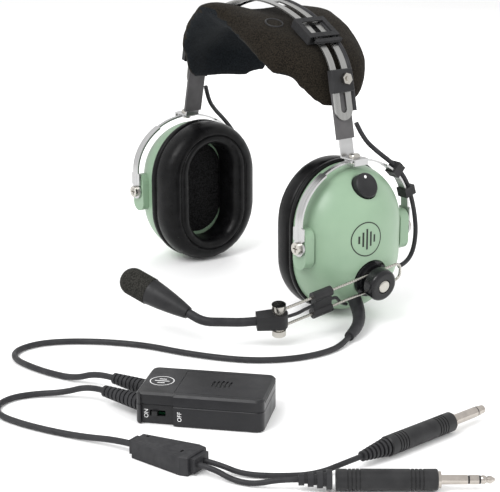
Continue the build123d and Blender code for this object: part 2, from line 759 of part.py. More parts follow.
with BuildPart() as boom_block:
    with BuildSketch(ELBOW.offset(-BLOCK_HALF)) as plan:
        Circle(6.2)
        with BuildLine():
            Polyline((0, 6.2), (15.5, 4.4), (15.5, -4.4), (0, -6.2), close=True)
        make_face()
    extrude(plan.sketch, amount=2 * BLOCK_HALF)
    with BuildSketch(ELBOW.offset(-BLOCK_HALF)) as bore:
        Circle(THUMB_SCREW_R + FIT)
    extrude(bore.sketch, amount=2 * BLOCK_HALF, mode=Mode.SUBTRACT)
save(boom_block, "boom_block")

with BuildPart() as thumb_screw:
    with BuildSketch(ELBOW.offset(-ROD_HALF_GAP - 5)) as post:
        Circle(THUMB_SCREW_R)
    extrude(post.sketch, amount=2 * ROD_HALF_GAP + 10)
    for end in (-1, 1):
        with BuildSketch(ELBOW.offset(end * (ROD_HALF_GAP + EYE_HALF + 0.1))) as nut:
            Circle(4.9)
        extrude(nut.sketch, amount=end * 4.2)
save(thumb_screw, "thumb_screw")

MIC_START = (92.1, -136.0, 24.6)
MIC_DIR = Vector(-0.873, -0.366, 0.323).normalized()
flex_route = (
    tuple(ELBOW.from_local_coords((15.5, 0, 0))),
    tuple(ELBOW.from_local_coords((25.5, 0, 0))),
    tuple(Vector(*MIC_START) - MIC_DIR * 13),
    MIC_START,
)
make_cord("flex_boom", flex_route, FLEX_R)

MIC = Plane(origin=MIC_START, z_dir=MIC_DIR)
with BuildPart() as mic_housing:
    with BuildSketch(MIC) as tail:
        Circle(4.2)
    with BuildSketch(MIC.offset(12)) as waist:
        Circle(6.6)
    with BuildSketch(MIC.offset(32)) as mouth:
        Circle(9.2)
    loft(sections=[tail.sketch, waist.sketch, mouth.sketch])
save(mic_housing, "mic_housing")

with BuildPart() as windscreen:
    with BuildSketch(MIC.offset(32)) as foam:
        Circle(9.6)
    extrude(foam.sketch, amount=24)
    fillet(windscreen.edges().group_by(Axis(MIC.origin, MIC.z_dir))[-1], radius=9)
save(windscreen, "windscreen")

MIC_LEAD = (
    tuple(BOOM.from_local_coords((78.4, 0, ROD_LIFT + 0.6))),
    tuple(BOOM.from_local_coords((70.5, 0.9, ROD_LIFT + 0.9))),
    tuple(BOOM.from_local_coords((60.5, 0, ROD_LIFT))),
    tuple(BOOM.from_local_coords((35.5, 0, ROD_LIFT))),
    (124.0, -30.5, 22.0),
    (120.5, -24.0, 17.0),
    (118.5, -17.5, 14.5),
)
make_cord("mic_lead", MIC_LEAD, MIC_LEAD_R)

with BuildPart() as volume_control:
    with BuildSketch(KNOB.offset(-10)) as can:
        Circle(8)
    extrude(can.sketch, amount=3.4)
    with BuildSketch(KNOB.offset(-10)) as shaft:
        Circle(SHAFT_R - FIT)
    extrude(shaft.sketch, amount=14)
save(volume_control, "volume_control")

with BuildPart() as volume_knob:
    with BuildSketch(KNOB.offset(0.4)) as body:
        Circle(9.2)
    extrude(body.sketch, amount=7)
    chamfer(volume_knob.edges().group_by(Axis(KNOB.origin, KNOB.z_dir))[-1], length=0.8)
    with BuildSketch(KNOB) as bore:
        Circle(SHAFT_R)
    extrude(bore.sketch, amount=4.4, mode=Mode.SUBTRACT)
save(volume_knob, "volume_knob")

# strain relief of the main cord: a tapered boot that curves down to the floor
RELIEF = (
    ((116.0, -9.0, 18.0), 5.0),
    ((124.0, -12.5, 14.0), 4.9),
    ((133.5, -18.5, 9.6), 4.5),
    ((143.5, -29.5, 6.3), 4.0),
    ((150.5, -42.0, 4.2), 3.4),
)


def relief_section(index):
    """Round section of the boot, square to its curve."""
    centre, radius = RELIEF[index]
    before = RELIEF[max(index - 1, 0)][0]
    after = RELIEF[min(index + 1, len(RELIEF) - 1)][0]
    direction = Vector(*after) - Vector(*before)
    with BuildSketch(Plane(origin=centre, z_dir=direction), mode=Mode.PRIVATE) as section:
        Circle(radius)
    return section.sketch


with BuildPart() as strain_relief:
    loft(sections=[relief_section(i) for i in range(len(RELIEF))])
    dome_solid(0, Mode.SUBTRACT)
    with BuildSketch(BOOM.offset(-4)) as seat_relief:
        Circle(15)
    extrude(seat_relief.sketch, amount=20, mode=Mode.SUBTRACT)
save(strain_relief, "strain_relief")

# ---------------------------------------------------------------- battery module
NOTCH_AT = 13.5           # middle of the notch that holds the switch, along the case
SWITCH_Z = 7.0
SEAM = 0.4                # chamfer along the joint between the case halves

with BuildPart() as module_bottom:
    with BuildSketch(MODULE) as outline:
        with Locations((MODULE_L / 2, MODULE_W / 2)):
            RectangleRounded(MODULE_L, MODULE_W, 5)
        with Locations((NOTCH_AT, 0)):
            Rectangle(20, 5, mode=Mode.SUBTRACT)
    extrude(outline.sketch, amount=MODULE_SPLIT)
    fillet(module_bottom.edges().group_by(Axis.Z)[0], radius=1.2)
    chamfer(module_bottom.edges().group_by(Axis.Z)[-1], length=SEAM)
    with BuildSketch(MODULE.offset(CASE_WALL)) as inside:
        with Locations((MODULE_L / 2, MODULE_W / 2)):
            RectangleRounded(MODULE_L - 2 * CASE_WALL, MODULE_W - 2 * CASE_WALL, 3.4)
        with Locations((NOTCH_AT, 0)):
            Rectangle(20 + 2 * CASE_WALL, 5 + 2 * CASE_WALL, mode=Mode.SUBTRACT)
    extrude(inside.sketch, amount=MODULE_SPLIT, mode=Mode.SUBTRACT)
    with BuildSketch(Plane(origin=MODULE.from_local_coords((NOTCH_AT, 0, SWITCH_Z)),
                           x_dir=MODULE.x_dir, z_dir=MODULE.y_dir)) as switch_window:
        Rectangle(9.5, 3.6)
    extrude(switch_window.sketch, amount=6, mode=Mode.SUBTRACT)
save(module_bottom, "module_bottom")

DOOR_FROM = 23.0
DOOR_INSET = 5.0
with BuildPart() as module_top:
    with BuildSketch(MODULE.offset(MODULE_SPLIT)) as outline:
        with Locations((MODULE_L / 2, MODULE_W / 2)):
            RectangleRounded(MODULE_L, MODULE_W, 5)
        with Locations((NOTCH_AT, 0)):
            Rectangle(20, 3, mode=Mode.SUBTRACT)
    extrude(outline.sketch, amount=MODULE_H - MODULE_SPLIT)
    chamfer(module_top.edges().group_by(Axis.Z)[-1], length=1.3)
    chamfer(module_top.edges().group_by(Axis.Z)[0], length=SEAM)
    with BuildSketch(MODULE.offset(MODULE_SPLIT)) as inside:
        with Locations((MODULE_L / 2, MODULE_W / 2)):
            RectangleRounded(MODULE_L - 2 * CASE_WALL, MODULE_W - 2 * CASE_WALL, 3.4)
        with Locations((NOTCH_AT, 0)):
            Rectangle(20 + 2 * CASE_WALL, 3 + 2 * CASE_WALL, mode=Mode.SUBTRACT)
    extrude(inside.sketch, amount=MODULE_H - MODULE_SPLIT - CASE_WALL, mode=Mode.SUBTRACT)
    with BuildSketch(MODULE.offset(MODULE_H - CASE_WALL - 1)) as door_window:
        with Locations(((DOOR_FROM + MODULE_L) / 2 + 2, MODULE_W / 2)):
            Rectangle(MODULE_L - DOOR_FROM + 4, MODULE_W - 2 * DOOR_INSET)
    extrude(door_window.sketch, amount=6, mode=Mode.SUBTRACT)
save(module_top, "module_top")

DOOR_GAP = 0.2
with BuildPart() as battery_door:
    with BuildSketch(MODULE.offset(MODULE_H - CASE_WALL)) as panel:
        with Locations(((DOOR_FROM + MODULE_L) / 2 + DOOR_GAP / 2, MODULE_W / 2)):
            Rectangle(MODULE_L - DOOR_FROM - DOOR_GAP, MODULE_W - 2 * DOOR_INSET - 2 * DOOR_GAP)
    extrude(panel.sketch, amount=CASE_WALL)
    end_face = battery_door.faces().sort_by(Axis(MODULE.origin, MODULE.x_dir))[-1]
    chamfer(end_face.edges().sort_by(Axis.Z)[-1], length=1.3)
    with BuildSketch(MODULE.offset(MODULE_H)) as grip:
        with Locations((MODULE_L * 0.62, MODULE_W / 2)):
            for notch in range(-2, 3):
                with Locations((notch * 2.6, 0)):
                    SlotOverall(12 - 1.6 * abs(notch), 1.3, rotation=90)
    extrude(grip.sketch, amount=-0.6, mode=Mode.SUBTRACT)
save(battery_door, "battery_door")

with BuildPart() as batteries:
    for row in (14.8, 31.2):
        with BuildSketch(Plane(origin=MODULE.from_local_coords((26, row, CASE_WALL + 7.5)),
                               z_dir=MODULE.x_dir)) as cell:
            Circle(7.2)
        extrude(cell.sketch, amount=49.5)
save(batteries, "batteries")

with BuildPart() as module_board:
    with BuildSketch(MODULE.offset(4)) as board:
        with Locations((14, 25)):
            Rectangle(20, 34)
    extrude(board.sketch, amount=1.6)
    with BuildSketch(MODULE.offset(5.6)) as parts_on_board:
        with Locations((9, 20), (19, 34)):
            Rectangle(6, 8)
    extrude(parts_on_board.sketch, amount=3)
save(module_board, "module_board")

with BuildPart() as switch_slider:
    with BuildSketch(Plane(origin=MODULE.from_local_coords((NOTCH_AT - 1.75, 0.6, SWITCH_Z)),
                           x_dir=MODULE.x_dir, z_dir=MODULE.y_dir)) as tab:
        Rectangle(3.2, 3.2)
    extrude(tab.sketch, amount=5.0)
save(switch_slider, "switch_slider")

BOOT_DIR = Vector(cos(radians(BOOT_YAW)), sin(radians(BOOT_YAW)), 0)


def turned(frame, profile):
    """Turned solid about the frame's z axis, from (distance, radius) pairs."""
    axial = Plane(origin=frame.origin, x_dir=frame.z_dir, z_dir=frame.x_dir)
    with BuildSketch(axial, mode=Mode.PRIVATE) as half:
        with BuildLine():
            Polyline((profile[0][0], 0), *profile, (profile[-1][0], 0), close=True)
        make_face()
    revolve(half.sketch, axis=Axis(frame.origin, frame.z_dir))


def ribbed_profile(root_r, tip_r, length, ribs):
    """Cone with square grooves between its ribs."""
    pitch = length / ribs
    profile = []
    for rib in range(ribs):
        start = rib * pitch
        radius = root_r + (tip_r - root_r) * rib / (ribs - 1)
        profile += [(start, radius), (start + 0.62 * pitch, radius)]
        if rib < ribs - 1:
            profile += [(start + 0.62 * pitch, radius - 0.9), (start + pitch, radius - 0.9)]
    return profile


def grooved_profile(radius, start, length, grooves):
    """Cylinder with a fine groove at each of the listed distances."""
    profile = [(start, radius - 0.6), (start + 0.6, radius)]
    for at in grooves:
        profile += [(at, radius), (at, radius - 0.5), (at + 0.7, radius - 0.5), (at + 0.7, radius)]
    return profile + [(start + length - 0.6, radius), (start + length, radius - 0.6)]


with BuildPart() as module_boots:
    for row in (MAIN_BOOT_V, EXIT_BOOT_V):
        boot_root = MODULE.from_local_coords((0, row, BOOT_Z)) - BOOT_DIR * 4
        profile = ribbed_profile(5.6, 3.6, BOOT_L + 4, 10)
        turned(Plane(origin=boot_root, z_dir=BOOT_DIR), profile)
    with BuildSketch(Plane(origin=MODULE.origin, x_dir=MODULE.y_dir, z_dir=MODULE.x_dir)) as face:
        Rectangle(200, 60)
    extrude(face.sketch, amount=10, mode=Mode.SUBTRACT)
save(module_boots, "module_boots")

# ---------------------------------------------------------------- cord junction
with BuildPart() as y_junction:
    with BuildSketch(JUNCTION) as plan:
        with BuildLine():
            Polyline((3, 5.6), (Y_L - 8, 10.4), (Y_L - 3, 9.2), (Y_L - 3, -9.2),
                     (Y_L - 8, -10.4), (3, -5.6), close=True)
        make_face()
    extrude(plan.sketch, amount=2 * Y_Z)
    chamfer(y_junction.edges().group_by(Axis.Z)[-1], length=0.7)
    with BuildSketch(JUNCTION.offset(1.4)) as exit_lip:
        with Locations((Y_L - 2, 0)):
            Rectangle(4, 14)
        with Locations((2, 0)):
            Rectangle(4, 7.6)
    extrude(exit_lip.sketch, amount=2 * Y_Z - 2.8)
    with BuildSketch(JUNCTION.offset(2 * Y_Z)) as windows:
        with Locations((8, 4), (Y_L - 11, -3)):
            Rectangle(1.4, 3)
    extrude(windows.sketch, amount=-1.2, mode=Mode.SUBTRACT)
save(y_junction, "y_junction")

# ---------------------------------------------------------------- plugs
def plug_frame(plug):
    """Frame at the cable end of a plug, local z along the plug."""
    (x, y), yaw = plug
    angle = radians(yaw)
    return Plane(origin=(x, y, PLUG_Z), x_dir=(0, 0, 1), z_dir=(cos(angle), sin(angle), 0))


headphone_axis = plug_frame(HEADPHONE_PLUG)
mic_axis = plug_frame(MIC_PLUG)
SHANK_AT = PLUG_BOOT_L + BARREL_L
RING_ROWS = (26, 28.2, 30.4, 32.6, 60, 62.2, 64.4, 66.6)

with BuildPart() as plug_boots:
    turned(headphone_axis, ribbed_profile(3.0, 5.2, PLUG_BOOT_L, 7))
    turned(mic_axis, ribbed_profile(3.2, 5.4, PLUG_BOOT_L, 4))
save(plug_boots, "plug_boots")

for label, axis in (("headphone_plug_barrel", headphone_axis), ("mic_plug_barrel", mic_axis)):
    with BuildPart() as barrel:
        turned(axis, grooved_profile(5.9, PLUG_BOOT_L, BARREL_L, RING_ROWS))
    save(barrel, label)

with BuildPart() as headphone_plug_contacts:
    turned(headphone_axis, (
        (SHANK_AT, 4.6), (SHANK_AT + 1.6, 4.6), (SHANK_AT + 1.6, HEADPHONE_R), (SHANK_AT + 22, HEADPHONE_R),
    ))
    turned(headphone_axis, (
        (SHANK_AT + 23, 2.5), (SHANK_AT + 24, 2.95), (SHANK_AT + 25.4, 2.95), (SHANK_AT + 26.6, 1.9),
        (SHANK_AT + 27.6, 2.6), (SHANK_AT + 28.8, 2.6), (SHANK_AT + SHANK_L, 1.0),
    ))
save(headphone_plug_contacts, "headphone_plug_contacts")

with BuildPart() as mic_plug_contacts:
    turned(mic_axis, (
        (SHANK_AT, 4.6), (SHANK_AT + 1.6, 4.6), (SHANK_AT + 1.6, MIC_R), (SHANK_AT + 16, MIC_R),
    ))
    turned(mic_axis, ((SHANK_AT + 17, MIC_R), (SHANK_AT + 22, MIC_R)))
    turned(mic_axis, (
        (SHANK_AT + 23, 2.1), (SHANK_AT + 24, 2.4), (SHANK_AT + 25.2, 2.4), (SHANK_AT + 26.4, 1.6),
        (SHANK_AT + 27.4, 2.2), (SHANK_AT + 28.6, 2.2), (SHANK_AT + SHANK_L, 0.8),
    ))
save(mic_plug_contacts, "mic_plug_contacts")

with BuildPart() as plug_insulators:
    for axis, radius, rows in ((headphone_axis, HEADPHONE_R, (22,)), (mic_axis, MIC_R, (16, 22))):
        for row in rows:
            turned(axis, ((SHANK_AT + row, radius - 0.3), (SHANK_AT + row + 1, radius - 0.3)))
save(plug_insulators, "plug_insulators")

# ---------------------------------------------------------------- cords on the floor
relief_end = RELIEF[-1][0]
main_tip = MODULE.from_local_coords((0, MAIN_BOOT_V, BOOT_Z)) + BOOT_DIR * BOOT_L
exit_tip = MODULE.from_local_coords((0, EXIT_BOOT_V, BOOT_Z)) + BOOT_DIR * BOOT_L
MAIN_Z = MAIN_CORD_R + 0.1
MAIN_CORD = (
    relief_end,
    (157.5, -54.5, MAIN_Z),
    (161.0, -75.0, MAIN_Z),
    (157.0, -98.0, MAIN_Z),
    (144.0, -120.0, MAIN_Z),
    (125.0, -135.5, MAIN_Z),
    (102.0, -149.0, MAIN_Z),
    (79.0, -158.7, MAIN_Z),
    (58.0, -174.0, MAIN_Z),
    (42.0, -191.0, MAIN_Z),
    (31.0, -209.0, MAIN_Z),
    (28.8, -224.0, MAIN_Z),
    (33.5, -237.5, MAIN_Z),
    (46.0, -244.5, MAIN_Z),
    (63.0, -243.5, MAIN_Z),
    (82.0, -239.5, MAIN_Z),
    (101.5, -231.5, MAIN_Z),
    tuple(main_tip + BOOT_DIR * 14),
    tuple(main_tip),
)
make_cord("main_cord", MAIN_CORD, MAIN_CORD_R)

MODULE_CORD_Z = MODULE_CORD_R + 0.1
MODULE_CORD = (
    tuple(exit_tip),
    tuple(exit_tip + BOOT_DIR * 12),
    (120.5, -250.5, 3.0),
    (109.5, -264.5, MODULE_CORD_Z),
    (106.0, -280.0, MODULE_CORD_Z),
    (112.5, -293.5, MODULE_CORD_Z),
    (127.0, -299.5, MODULE_CORD_Z),
    (146.0, -295.0, MODULE_CORD_Z),
    (166.0, -287.0, MODULE_CORD_Z),
    (186.0, -276.0, MODULE_CORD_Z),
    tuple(JUNCTION.from_local_coords((-12, 0, Y_Z))),
    tuple(JUNCTION.from_local_coords((0, 0, Y_Z))),
)
make_cord("module_cord", MODULE_CORD, MODULE_CORD_R)

PLUG_CORD_Z = PLUG_CORD_R + 0.1
HEADPHONE_CORD = (
    tuple(JUNCTION.from_local_coords((Y_L, 3.2, Y_Z))),
    tuple(JUNCTION.from_local_coords((Y_L + 10, 3.2, Y_Z))),
    (283.0, -232.5, PLUG_CORD_Z),
    (297.0, -218.0, PLUG_CORD_Z),
    (307.5, -200.0, PLUG_CORD_Z),
    tuple(headphone_axis.from_local_coords((0, 0, -12))),
    tuple(headphone_axis.origin),
)
make_cord("headphone_cord", HEADPHONE_CORD, PLUG_CORD_R)

MIC_CORD = (
    tuple(JUNCTION.from_local_coords((Y_L, -3.2, Y_Z))),
    tuple(JUNCTION.from_local_coords((Y_L + 10, -3.2, Y_Z))),
    (286.0, -241.5, PLUG_CORD_Z),
    (297.5, -235.0, PLUG_CORD_Z),
    tuple(mic_axis.from_local_coords((0, 0, -10))),
    tuple(mic_axis.origin),
)
make_cord("mic_cord", MIC_CORD, PLUG_CORD_R)
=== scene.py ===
import json
from math import cos, pi, radians, sin

import bmesh
import bpy
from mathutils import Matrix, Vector, noise
from mathutils.bvhtree import BVHTree


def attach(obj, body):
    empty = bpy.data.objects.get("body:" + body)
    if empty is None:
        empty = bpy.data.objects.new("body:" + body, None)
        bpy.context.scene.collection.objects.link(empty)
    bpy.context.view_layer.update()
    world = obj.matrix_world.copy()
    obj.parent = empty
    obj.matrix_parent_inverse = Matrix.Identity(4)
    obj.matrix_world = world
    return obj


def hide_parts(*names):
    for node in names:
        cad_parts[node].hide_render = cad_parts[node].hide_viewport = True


MM = 0.001
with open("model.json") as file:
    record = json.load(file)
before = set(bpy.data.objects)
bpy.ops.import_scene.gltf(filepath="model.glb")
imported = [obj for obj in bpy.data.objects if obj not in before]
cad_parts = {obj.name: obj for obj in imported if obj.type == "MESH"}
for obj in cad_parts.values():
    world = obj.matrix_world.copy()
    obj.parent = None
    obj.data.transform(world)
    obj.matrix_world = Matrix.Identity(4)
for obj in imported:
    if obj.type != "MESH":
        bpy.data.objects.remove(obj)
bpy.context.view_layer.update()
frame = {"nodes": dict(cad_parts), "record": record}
nodes = frame["nodes"]
scene = bpy.context.scene


# ---------------------------------------------------------------- camera
CAMERA_AZIMUTH = radians(53)
CAMERA_ELEVATION = radians(16)
CAMERA_DISTANCE = 1.2
CAMERA_TARGET = Vector((-0.0186, 0, 0.023))
CAMERA_LENS = 110


def make_camera():
    """Camera at the photograph's viewing angle."""
    back = Vector((
        sin(CAMERA_AZIMUTH) * cos(CAMERA_ELEVATION),
        -cos(CAMERA_AZIMUTH) * cos(CAMERA_ELEVATION),
        sin(CAMERA_ELEVATION),
    ))
    camera = bpy.data.objects.new("camera", bpy.data.cameras.new("camera"))
    camera.location = CAMERA_TARGET + back * CAMERA_DISTANCE
    camera.rotation_euler = back.to_track_quat("Z", "Y").to_euler()
    camera.data.lens = CAMERA_LENS
    scene.collection.objects.link(camera)
    scene.camera = camera


make_camera()
scene.view_settings.view_transform = "Standard"


# ---------------------------------------------------------------- material building blocks
def new_material(name):
    """Empty node material with its tree and its Principled shader."""
    material = bpy.data.materials.new(name)
    material.use_nodes = True
    return material, material.node_tree, material.node_tree.nodes["Principled BSDF"]


def add_noise(tree, scale, detail=3.0, stretch=(1, 1, 1)):
    """Noise texture in the piece's own coordinates, stretched along its axes."""
    coordinates = tree.nodes.new("ShaderNodeTexCoord")
    mapping = tree.nodes.new("ShaderNodeMapping")
    mapping.inputs["Scale"].default_value = stretch
    texture = tree.nodes.new("ShaderNodeTexNoise")
    texture.inputs["Scale"].default_value = scale
    texture.inputs["Detail"].default_value = detail
    tree.links.new(coordinates.outputs["Object"], mapping.inputs["Vector"])
    tree.links.new(mapping.outputs["Vector"], texture.inputs["Vector"])
    return texture.outputs["Fac"]


def add_cells(tree, scale):
    """Distance to the middle of Voronoi cells, in the piece's own coordinates."""
    coordinates = tree.nodes.new("ShaderNodeTexCoord")
    texture = tree.nodes.new("ShaderNodeTexVoronoi")
    texture.inputs["Scale"].default_value = scale
    tree.links.new(coordinates.outputs["Object"], texture.inputs["Vector"])
    return texture.outputs["Distance"]


def add_ramp(tree, factor, low, high, start=0.3, end=0.7):
    """Colour ramp from low to high; plain numbers make greys."""
    ramp = tree.nodes.new("ShaderNodeValToRGB")
    for element, value, place in zip(ramp.color_ramp.elements, (low, high), (start, end)):
        element.position = place
        element.color = (*value, 1) if isinstance(value, tuple) else (value, value, value, 1)
    tree.links.new(factor, ramp.inputs["Fac"])
    return ramp.outputs["Color"]


def add_bump(tree, shader, height, strength, distance, under=None):
    """Bump from a height, on top of an earlier bump if there is one."""
    bump = tree.nodes.new("ShaderNodeBump")
    bump.inputs["Strength"].default_value = strength
    bump.inputs["Distance"].default_value = distance
    tree.links.new(height, bump.inputs["Height"])
    if under is not None:
        tree.links.new(under, bump.inputs["Normal"])
    tree.links.new(bump.outputs["Normal"], shader.inputs["Normal"])
    return bump.outputs["Normal"]


def moulded(name, dark, light, rough, patch=90, grain=2500, strength=0.12, depth=0.0001, metallic=0.0):
    """Mottled colour and roughness with a fine grain: the base of most materials here."""
    material, tree, shader = new_material(name)
    mottle = add_noise(tree, patch)
    tree.links.new(add_ramp(tree, mottle, dark, light), shader.inputs["Base Color"])
    smears = add_noise(tree, patch * 2.3)
    tree.links.new(add_ramp(tree, smears, rough[0], rough[1]), shader.inputs["Roughness"])
    shader.inputs["Metallic"].default_value = metallic
    shader.inputs["Specular IOR Level"].default_value = 0.3
    add_bump(tree, shader, add_noise(tree, grain), strength, depth)
    return material


# ---------------------------------------------------------------- materials
def shell_paint():
    """Satin pale green paint with a faint orange peel and slightly greyer patches."""
    material, tree, shader = new_material("shell_paint")
    mottle = add_noise(tree, 28)
    tree.links.new(add_ramp(tree, mottle, (0.205, 0.31, 0.21), (0.24, 0.35, 0.24)),
                   shader.inputs["Base Color"])
    haze = add_noise(tree, 70)
    tree.links.new(add_ramp(tree, haze, 0.34, 0.44), shader.inputs["Roughness"])
    shader.inputs["Coat Weight"].default_value = 0.15
    shader.inputs["Coat Roughness"].default_value = 0.3
    add_bump(tree, shader, add_noise(tree, 900), 0.08, 0.0002)
    return material


def leatherette():
    """Black vinyl leather: pebbled grain over soft creases."""
    material, tree, shader = new_material("leatherette")
    mottle = add_noise(tree, 140)
    tree.links.new(add_ramp(tree, mottle, (0.002, 0.002, 0.0022), (0.006, 0.006, 0.0065)),
                   shader.inputs["Base Color"])
    tree.links.new(add_ramp(tree, add_noise(tree, 300), 0.26, 0.4), shader.inputs["Roughness"])
    shader.inputs["Specular IOR Level"].default_value = 0.15
    creases = add_bump(tree, shader, add_noise(tree, 160, 5), 0.25, 0.0006)
    add_bump(tree, shader, add_cells(tree, 1500), 0.3, 0.0001, creases)
    return material


def fleece(name, dark, light):
    """Short-pile fleece: speckled fibres, deep soft bump and a trace of sheen."""
    material, tree, shader = new_material(name)
    speckle = add_noise(tree, 1300, 6)
    tree.links.new(add_ramp(tree, speckle, dark, light, 0.36, 0.62), shader.inputs["Base Color"])
    tree.links.new(add_ramp(tree, add_noise(tree, 200), 0.85, 1.0), shader.inputs["Roughness"])
    shader.inputs["Sheen Weight"].default_value = 0.03
    shader.inputs["Sheen Roughness"].default_value = 0.6
    shader.inputs["Specular IOR Level"].default_value = 0.04
    tufts = add_bump(tree, shader, add_noise(tree, 420, 4), 0.5, 0.0009)
    add_bump(tree, shader, add_noise(tree, 2600, 2), 0.6, 0.0004, tufts)
    return material


def open_foam(name, light, dark):
    """Open-celled foam: rounded pits under a fine grain."""
    material, tree, shader = new_material(name)
    pits = add_cells(tree, 900)
    tree.links.new(add_ramp(tree, pits, light, dark, 0.1, 0.7), shader.inputs["Base Color"])
    tree.links.new(add_ramp(tree, add_noise(tree, 300), 0.8, 1.0), shader.inputs["Roughness"])
    coarse = add_bump(tree, shader, pits, 0.8, 0.0007)
    add_bump(tree, shader, add_noise(tree, 2200), 0.4, 0.0003, coarse)
    shader.inputs["Specular IOR Level"].default_value = 0.1
    return material


def brushed_steel(name, tone, stretch):
    """Plated sheet steel with fine drawn lines."""
    material, tree, shader = new_material(name)
    lines = add_noise(tree, 900, 4, stretch)
    dark = tuple(0.8 * c for c in tone)
    tree.links.new(add_ramp(tree, lines, dark, tone), shader.inputs["Base Color"])
    tree.links.new(add_ramp(tree, lines, 0.24, 0.4), shader.inputs["Roughness"])
    shader.inputs["Metallic"].default_value = 1.0
    add_bump(tree, shader, lines, 0.1, 0.0001)
    return material


def bright_chrome(name, tone):
    """Polished plating with light smears."""
    material, tree, shader = new_material(name)
    smear = add_noise(tree, 220)
    tree.links.new(add_ramp(tree, smear, tuple(0.85 * c for c in tone), tone), shader.inputs["Base Color"])
    tree.links.new(add_ramp(tree, smear, 0.08, 0.2), shader.inputs["Roughness"])
    shader.inputs["Metallic"].default_value = 1.0
    add_bump(tree, shader, add_noise(tree, 1800), 0.04, 0.0001)
    return material


def drawn_wire():
    """Bright plated wire with faint slanting marks from drawing and bending."""
    material, tree, shader = new_material("drawn_wire")
    coordinates = tree.nodes.new("ShaderNodeTexCoord")
    mapping = tree.nodes.new("ShaderNodeMapping")
    mapping.inputs["Rotation"].default_value = (radians(35), 0, 0)
    wave = tree.nodes.new("ShaderNodeTexWave")
    wave.bands_direction = "Y"
    wave.inputs["Scale"].default_value = 260
    wave.inputs["Distortion"].default_value = 0.6
    tree.links.new(coordinates.outputs["Object"], mapping.inputs["Vector"])
    tree.links.new(mapping.outputs["Vector"], wave.inputs["Vector"])
    ridges = wave.outputs["Fac"]
    tree.links.new(add_ramp(tree, ridges, (0.34, 0.33, 0.30), (0.52, 0.50, 0.46)),
                   shader.inputs["Base Color"])
    tree.links.new(add_ramp(tree, add_noise(tree, 500), 0.18, 0.34), shader.inputs["Roughness"])
    shader.inputs["Metallic"].default_value = 1.0
    add_bump(tree, shader, ridges, 0.15, 0.0002)
    return material


def webbing():
    """Woven black tape."""
    material, tree, shader = new_material("webbing")
    weave = add_noise(tree, 1500, 2, (1, 0.35, 1))
    tree.links.new(add_ramp(tree, weave, (0.004, 0.004, 0.005), (0.014, 0.014, 0.015)),
                   shader.inputs["Base Color"])
    tree.links.new(add_ramp(tree, add_noise(tree, 250), 0.75, 0.95), shader.inputs["Roughness"])
    shader.inputs["Sheen Weight"].default_value = 0.02
    add_bump(tree, shader, weave, 0.6, 0.0004)
    return material


PAINT = shell_paint()
LEATHER = leatherette()
FLEECE_OUTSIDE = fleece("fleece_outside", (0.003, 0.0025, 0.002), (0.022, 0.018, 0.013))
FLEECE_INSIDE = fleece("fleece_inside", (0.002, 0.0025, 0.003), (0.011, 0.014, 0.017))
FOAM = open_foam("liner_foam", (0.022, 0.022, 0.023), (0.004, 0.004, 0.004))
WINDSCREEN_FOAM = open_foam("windscreen_foam", (0.044, 0.042, 0.038), (0.016, 0.016, 0.014))
STIRRUP_STEEL = brushed_steel("stirrup_steel", (0.56, 0.56, 0.56), (1, 0.04, 0.04))
BAND_STEEL = brushed_steel("band_steel", (0.40, 0.40, 0.39), (0.03, 1, 0.03))
CHROME = bright_chrome("bright_chrome", (0.52, 0.50, 0.46))
NICKEL = bright_chrome("plug_nickel", (0.50, 0.46, 0.42))
WIRE = drawn_wire()
WEBBING = webbing()
BLACK_PLASTIC = moulded("black_plastic", (0.010, 0.010, 0.011), (0.020, 0.020, 0.021), (0.38, 0.55))
GLOSS_BLACK = moulded("gloss_black", (0.007, 0.007, 0.008), (0.012, 0.012, 0.013), (0.1, 0.2), strength=0.03)
GREY_SLEEVE = moulded("grey_sleeve", (0.060, 0.058, 0.060), (0.085, 0.082, 0.084), (0.45, 0.6))
CASE = moulded("case_plastic", (0.010, 0.010, 0.011), (0.016, 0.016, 0.018), (0.3, 0.42), 45, 3600, 0.12)
RUBBER = moulded("cord_rubber", (0.013, 0.013, 0.015), (0.026, 0.026, 0.028), (0.45, 0.62), 120, 1800, 0.2)
BOOT_RUBBER = moulded(
    "boot_rubber", (0.014, 0.014, 0.016), (0.024, 0.024, 0.026), (0.5, 0.66), 150, 1400, 0.25)
BATTERY = moulded("battery_wrap", (0.10, 0.11, 0.16), (0.18, 0.19, 0.25), (0.3, 0.45))
BOARD = moulded("circuit_board", (0.01, 0.08, 0.03), (0.02, 0.14, 0.06), (0.35, 0.5))
SPEAKER = moulded("speaker_frame", (0.02, 0.02, 0.02), (0.05, 0.05, 0.05), (0.4, 0.6))
ALUMINIUM = moulded("control_metal", (0.55, 0.55, 0.55), (0.7, 0.7, 0.7), (0.3, 0.45), metallic=1.0)
WHITE_INK = moulded("white_ink", (0.72, 0.72, 0.72), (0.82, 0.82, 0.82), (0.5, 0.6), strength=0.02)
DARK_INK = moulded("dark_ink", (0.015, 0.02, 0.015), (0.03, 0.035, 0.03), (0.45, 0.55), strength=0.02)

SLOT_MATERIALS = {
    "dome": PAINT, "seal": LEATHER, "liner": FOAM, "speaker": SPEAKER, "chrome": CHROME,
    "stirrup": STIRRUP_STEEL, "sleeve": GREY_SLEEVE, "band": BAND_STEEL, "pad": FLEECE_OUTSIDE,
    "black_plastic": BLACK_PLASTIC, "gloss_black": GLOSS_BLACK, "case": CASE, "rubber": RUBBER,
    "foam": FOAM, "control": ALUMINIUM, "battery": BATTERY, "board": BOARD, "contact": NICKEL,
}
# nodes whose look differs from the rest of their slot
NODE_MATERIALS = {
    "boom_rods": WIRE, "clamp_knob": GLOSS_BLACK, "windscreen": WINDSCREEN_FOAM, "module_boots": BOOT_RUBBER,
    "plug_boots": BOOT_RUBBER, "y_junction": BOOT_RUBBER, "strain_relief": BOOT_RUBBER,
    "flex_boom": BOOT_RUBBER, "band_retainers": WEBBING,
}


